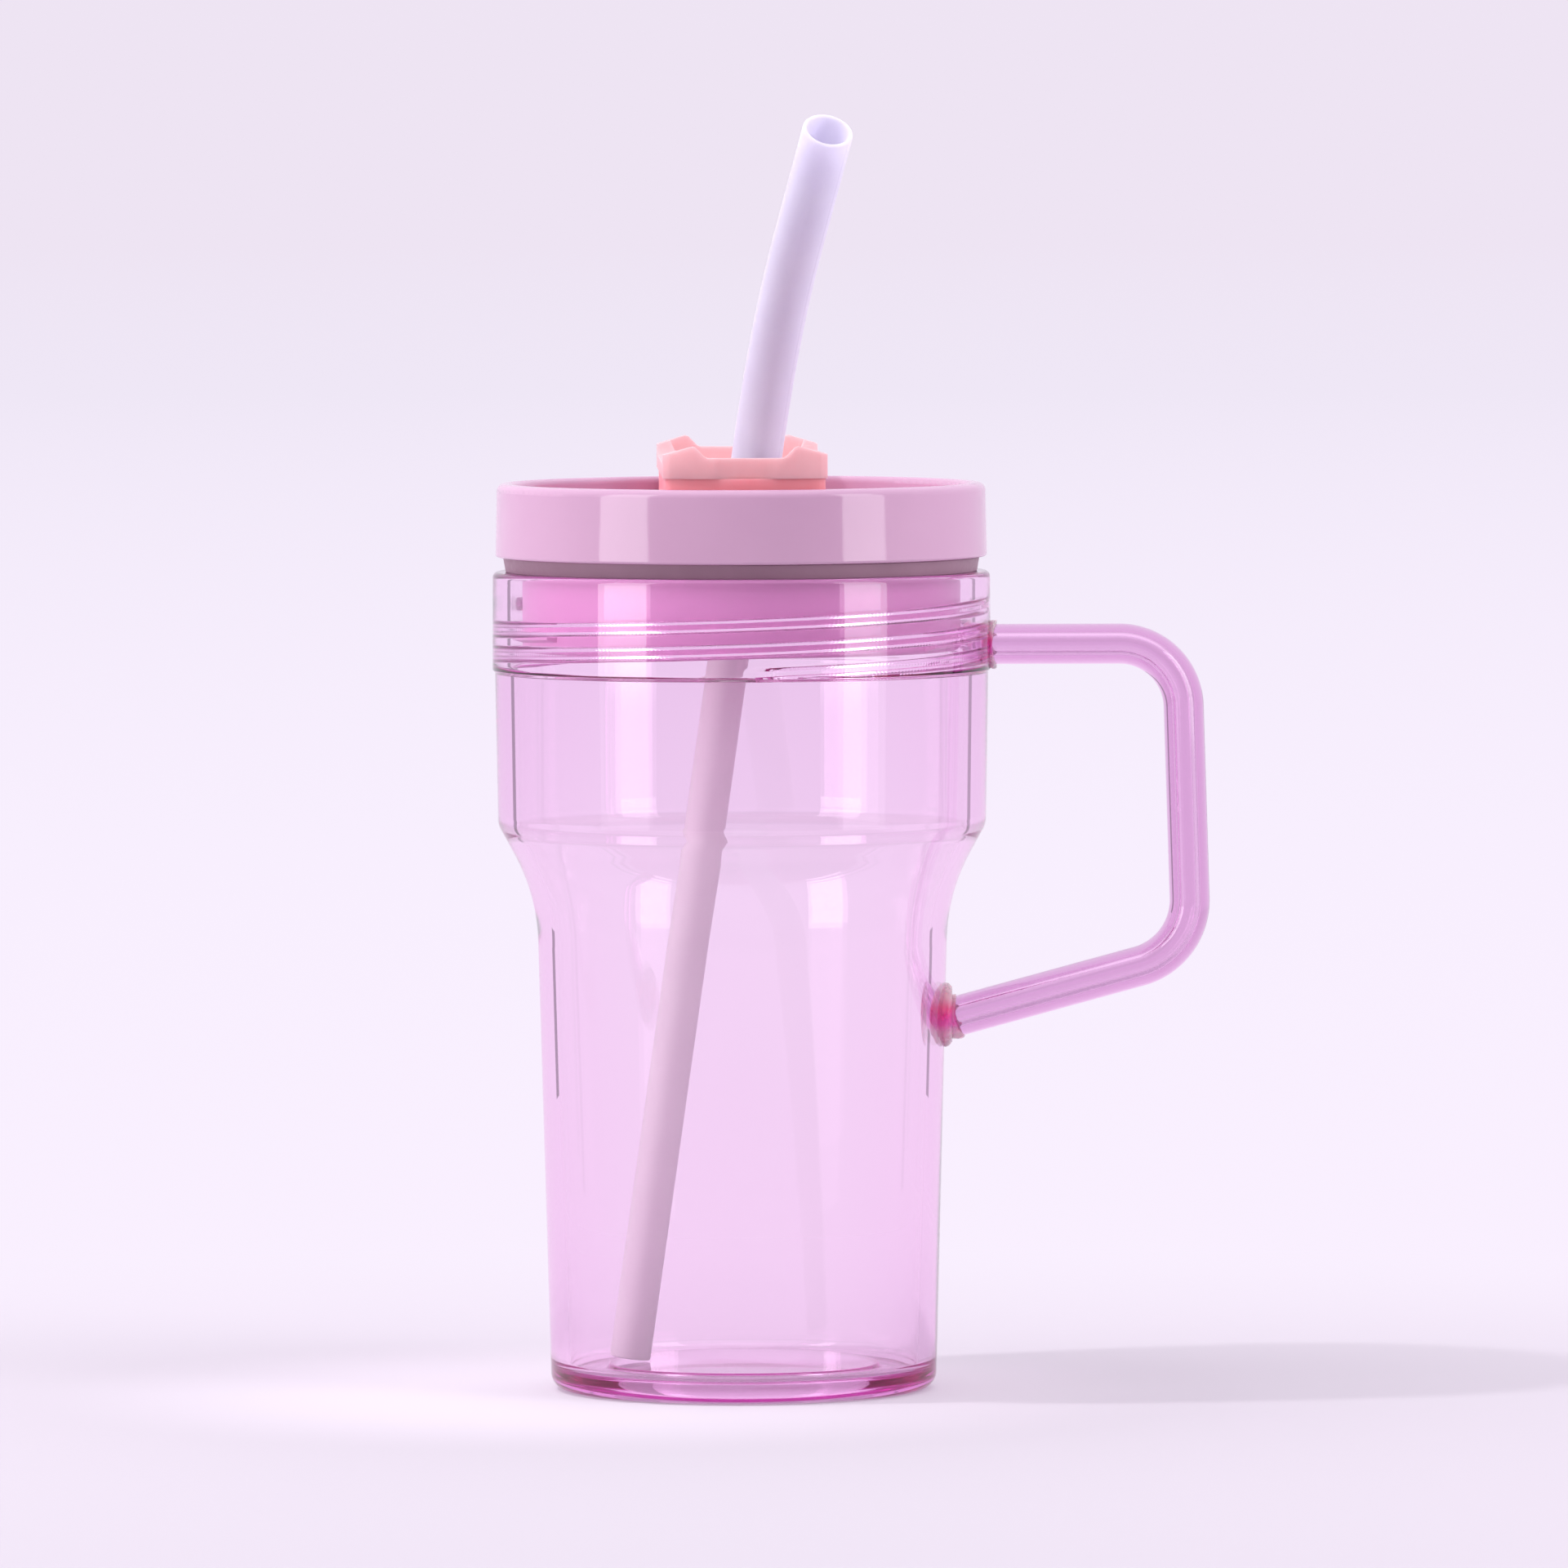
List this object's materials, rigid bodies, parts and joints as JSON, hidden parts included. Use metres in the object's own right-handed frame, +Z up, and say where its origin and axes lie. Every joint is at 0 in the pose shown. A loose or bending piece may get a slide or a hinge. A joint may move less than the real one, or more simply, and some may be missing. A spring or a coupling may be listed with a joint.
{
  "type": "tumbler with screw lid, straw and handle",
  "caption": "Clear single-wall tumbler with a side handle, a screw lid with a rotating cover bar over its drink opening, and a bent soft-tipped straw.",
  "frame": {"origin": "on the cup's axis, in the plane of the floor that it stands on", "axes": "+Z up along the cup's axis; +X towards the handle"},
  "size_m": [0.1405, 0.0976, 0.25],
  "materials": {
    "clear_pink": "clear tinted, polished",
    "weld_pink": "clear tinted, uneven weld flash",
    "lid_pink": "opaque, glossy",
    "coral": "satin",
    "deep_coral": "satin",
    "gasket_silicone": "matt silicone",
    "straw_rose": "satin, slightly translucent",
    "straw_silicone": "soft matt silicone"
  },
  "bodies": {
    "cup": {"cup_body": "clear_pink", "handle": "clear_pink", "upper_weld_collar": "weld_pink", "lower_weld_collar": "weld_pink"},
    "lid_ring": {"lid_gasket": "gasket_silicone"},
    "lid": {"lid_cover": "lid_pink", "lid_plug": "lid_pink", "pivot_cap": "lid_pink", "hub_o_ring": "gasket_silicone", "straw_grommet": "gasket_silicone"},
    "cover_bar": {"cover_bar_top": "coral", "cover_bar_base": "deep_coral", "drink_seal": "gasket_silicone", "vent_seal": "gasket_silicone"},
    "straw": {"straw_lower": "straw_rose"},
    "mouthpiece": {"straw_upper": "straw_silicone"}
  },
  "joints": [
    {"name": "lid_rise", "type": "slide", "parent": "cup", "child": "lid_ring", "axis": [0, 0, 1], "range_m": [0, 0.00645]},
    {"name": "lid_unscrew", "type": "hinge", "parent": "lid_ring", "child": "lid", "pos_m": [0, 0, 0.15], "axis": [0, 0, 1], "range_deg": [0, 240]},
    {"name": "cover_turn", "type": "hinge", "parent": "lid", "child": "cover_bar", "pos_m": [0, 0, 0.176], "axis": [0, 0, 1], "range_deg": [0, 90]},
    {"name": "straw_pull", "type": "slide", "parent": "lid", "child": "straw", "axis": [0.1426, 0, 0.9898], "range_m": [0, 0.175]},
    {"name": "mouthpiece_turn", "type": "hinge", "parent": "straw", "child": "mouthpiece", "pos_m": [0, 0, 0.1615], "axis": [0.1426, 0, 0.9898], "continuous": true}
  ],
  "couplings": [
    {"joint": "lid_rise", "follows": "lid_unscrew", "m_per_rad": 0.0015279}
  ]
}
